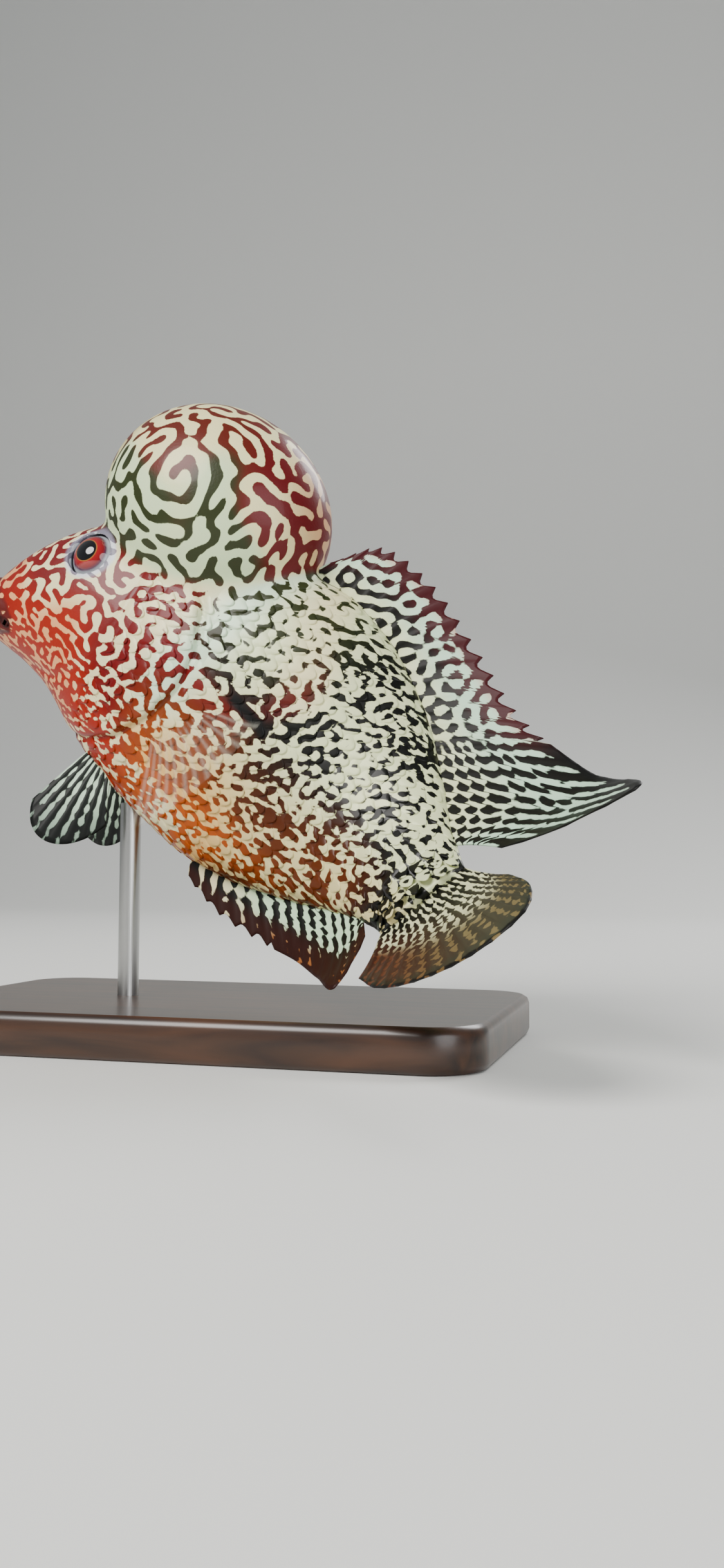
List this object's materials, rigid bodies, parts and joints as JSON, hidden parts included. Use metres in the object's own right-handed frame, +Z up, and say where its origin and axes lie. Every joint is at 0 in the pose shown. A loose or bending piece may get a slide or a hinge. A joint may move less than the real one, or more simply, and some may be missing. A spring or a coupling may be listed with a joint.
{
  "type": "flowerhorn cichlid display model",
  "caption": "Still life-size flowerhorn cichlid with a large forehead hump, nose up and tail swept to its left, on a flat base with one rod",
  "frame": {"origin": "centre of the overall box at floor level, under the base", "axes": "-X where the fish faces, -Y its left flank, which the tail sweeps towards, +Z up"},
  "size_m": [0.106, 0.0776, 0.0969],
  "materials": {
    "skin": "wet scaled skin, cream and mint lines on red, orange and black",
    "eye": "wet eye with a red iris",
    "fin": "wet fin membrane over rays, dark with pale spots",
    "clear_fin": "clear membrane over fine rays",
    "base": "dark stained and varnished wood",
    "rod": "plain brushed steel"
  },
  "bodies": {
    "root": {"head": "skin", "nuchal_hump": "skin", "gill_cover_left": "skin", "gill_cover_right": "skin", "torso_front": "skin", "torso_rear": "skin", "tail_stalk": "skin", "eye_left": "eye", "eye_right": "eye", "dorsal_fin": "fin", "anal_fin": "fin", "caudal_fin": "fin", "pectoral_fin_left": "clear_fin", "pectoral_fin_right": "clear_fin", "pelvic_fin_left": "fin", "pelvic_fin_right": "fin", "stand_base": "base", "stand_rod": "rod"}
  },
  "joints": []
}
